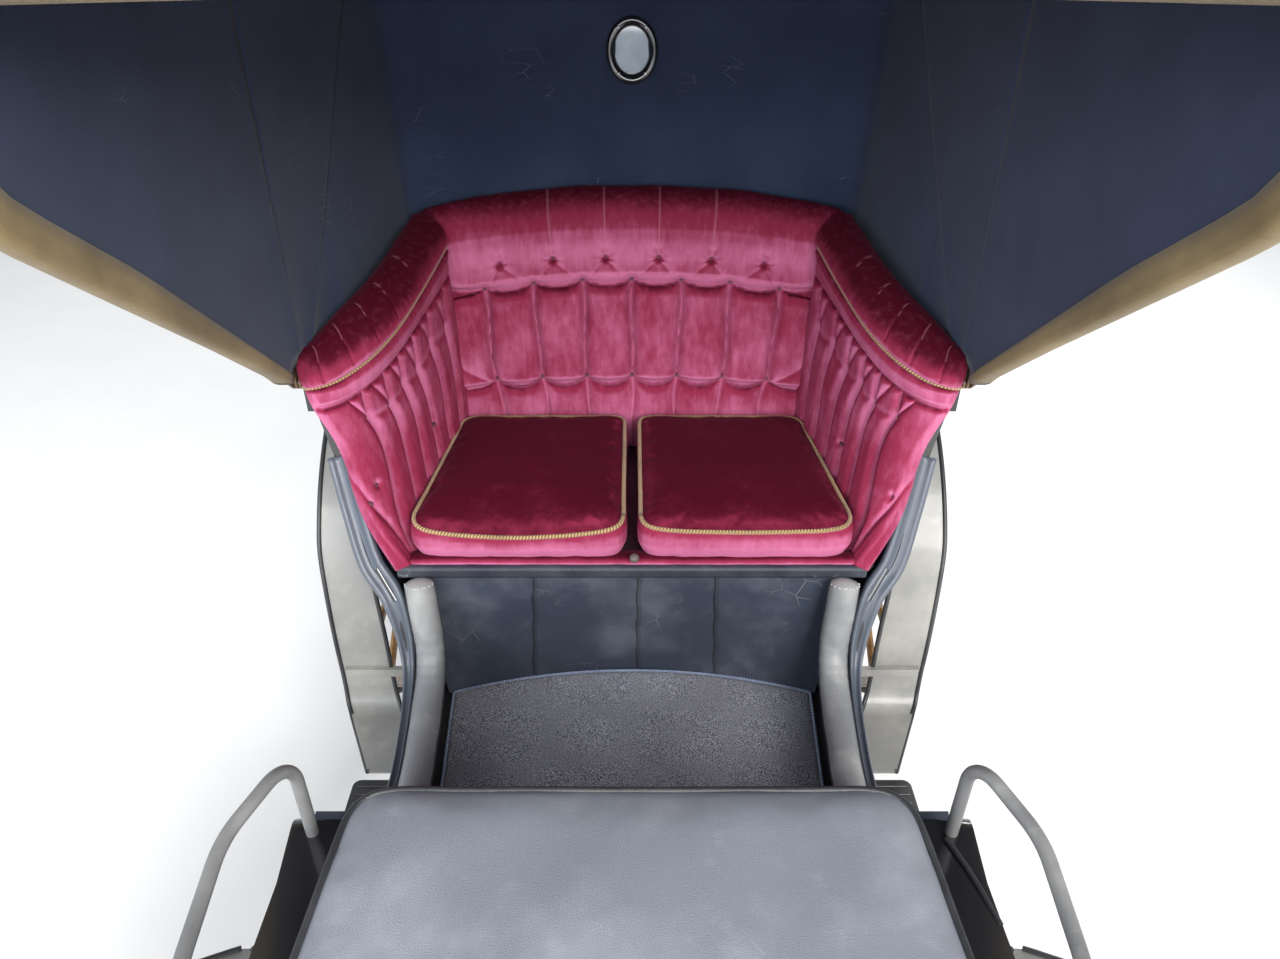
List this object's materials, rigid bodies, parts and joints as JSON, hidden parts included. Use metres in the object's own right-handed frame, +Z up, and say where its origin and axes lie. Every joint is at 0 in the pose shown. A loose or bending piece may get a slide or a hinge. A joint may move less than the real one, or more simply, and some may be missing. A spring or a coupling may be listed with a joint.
{
  "type": "horse-drawn open carriage with folding hood",
  "caption": "Open four-wheeled carriage with a buttoned seat under a folding hood, a raised driver's seat, elliptic springs, a turntable fore-carriage and shafts.",
  "frame": {"origin": "on the ground under the middle of the whole carriage, shafts included", "axes": "+Z up, -Y the way it drives, +X its left side"},
  "size_m": [1.534, 4.7632, 2.2478],
  "materials": {
    "crimson_velvet": "soft pile",
    "black_lacquer": "high gloss coach paint on wood",
    "black_leather": "smooth",
    "hood_leather": "grained",
    "patent_leather": "glossy",
    "carpet": "short loop pile",
    "plain_wood": "painted",
    "bow_wood": "dark stained",
    "varnished_wood": "varnished",
    "tyre_rubber": "matt",
    "black_iron": "gloss",
    "bright_metal": "polished",
    "clear_glass": "clear"
  },
  "bodies": {
    "carriage_body": {"arm_squab_left": "crimson_velvet", "arm_squab_right": "crimson_velvet", "back_squab": "crimson_velvet", "body_irons": "black_iron", "bottom_boards": "plain_wood", "dashboard": "patent_leather", "driver_boot": "black_lacquer", "driver_cushion": "black_leather", "driver_rails": "black_iron", "driver_seat_board": "black_lacquer", "fender_irons": "black_iron", "floor_carpet": "carpet", "footboard": "plain_wood", "front_fenders": "patent_leather", "heelboard": "black_leather", "hood_pivots": "black_iron", "rear_axle": "black_iron", "rear_fender_left": "patent_leather", "rear_fender_right": "patent_leather", "rear_springs": "black_iron", "seat_board": "plain_wood", "seat_cushion_left": "crimson_velvet", "seat_cushion_right": "crimson_velvet", "seat_rail": "black_leather", "side_panel_left": "black_lacquer", "side_panel_right": "black_lacquer", "sill_rolls": "black_leather", "steps": "black_iron", "toe_panel": "plain_wood", "tub_back": "black_lacquer", "tub_side_left": "black_lacquer", "tub_side_right": "black_lacquer", "upper_bed": "varnished_wood", "upper_wheel_plate": "black_iron"},
    "fore_carriage": {"fore_bed": "varnished_wood", "splinter_bar": "black_iron", "swingletree": "varnished_wood", "lower_wheel_plate": "black_iron", "front_axle": "black_iron", "front_springs": "black_iron"},
    "shafts": {"shaft_left": "varnished_wood", "shaft_right": "varnished_wood", "shaft_irons": "black_iron", "shaft_crossbar": "varnished_wood"},
    "rear_wheel_left": {"wheel_rear_left": "varnished_wood", "tyre_rear_left": "tyre_rubber"},
    "rear_wheel_right": {"wheel_rear_right": "varnished_wood", "tyre_rear_right": "tyre_rubber"},
    "front_wheel_left": {"wheel_front_left": "varnished_wood", "tyre_front_left": "tyre_rubber"},
    "front_wheel_right": {"wheel_front_right": "varnished_wood", "tyre_front_right": "tyre_rubber"},
    "hood_rear": {"hood_bow_rear": "bow_wood", "hood_skin_back": "hood_leather", "window_bezel": "bright_metal", "window_glass": "clear_glass"},
    "hood_mid": {"hood_bow_mid": "bow_wood", "hood_skin_mid": "hood_leather"},
    "hood_front": {"hood_bow_front": "bow_wood", "hood_skin_front": "hood_leather"}
  },
  "joints": [
    {"name": "steering", "type": "hinge", "parent": "carriage_body", "child": "fore_carriage", "pos_m": [0, 0.01165, 0.627], "axis": [0, 0, 1], "range_deg": [-26, 26]},
    {"name": "shafts_lift", "type": "hinge", "parent": "fore_carriage", "child": "shafts", "pos_m": [0, -0.42935, 0.652], "axis": [-1, 0, 0], "range_deg": [0, 38]},
    {"name": "rear_wheel_left_spin", "type": "hinge", "parent": "carriage_body", "child": "rear_wheel_left", "pos_m": [0.675, 1.88165, 0.5], "axis": [1, 0, 0], "continuous": true},
    {"name": "rear_wheel_right_spin", "type": "hinge", "parent": "carriage_body", "child": "rear_wheel_right", "pos_m": [-0.675, 1.88165, 0.5], "axis": [1, 0, 0], "continuous": true},
    {"name": "front_wheel_left_spin", "type": "hinge", "parent": "fore_carriage", "child": "front_wheel_left", "pos_m": [0.655, 0.01165, 0.38], "axis": [1, 0, 0], "continuous": true},
    {"name": "front_wheel_right_spin", "type": "hinge", "parent": "fore_carriage", "child": "front_wheel_right", "pos_m": [-0.655, 0.01165, 0.38], "axis": [1, 0, 0], "continuous": true},
    {"name": "hood_fold", "type": "hinge", "parent": "carriage_body", "child": "hood_rear", "pos_m": [0, 1.36665, 1.205], "axis": [-1, 0, 0], "range_deg": [0, 34], "deforming": ["hood_skin_back"]},
    {"name": "hood_mid_fold", "type": "hinge", "parent": "hood_rear", "child": "hood_mid", "pos_m": [0, 1.36665, 1.205], "axis": [-1, 0, 0], "range_deg": [0, 29], "deforming": ["hood_skin_mid"]},
    {"name": "hood_front_fold", "type": "hinge", "parent": "hood_mid", "child": "hood_front", "pos_m": [0, 1.36665, 1.205], "axis": [-1, 0, 0], "range_deg": [0, 37], "deforming": ["hood_skin_front"]}
  ],
  "couplings": [
    {"joint": "hood_mid_fold", "follows": "hood_fold", "ratio": 0.85294},
    {"joint": "hood_front_fold", "follows": "hood_fold", "ratio": 1.0882}
  ]
}
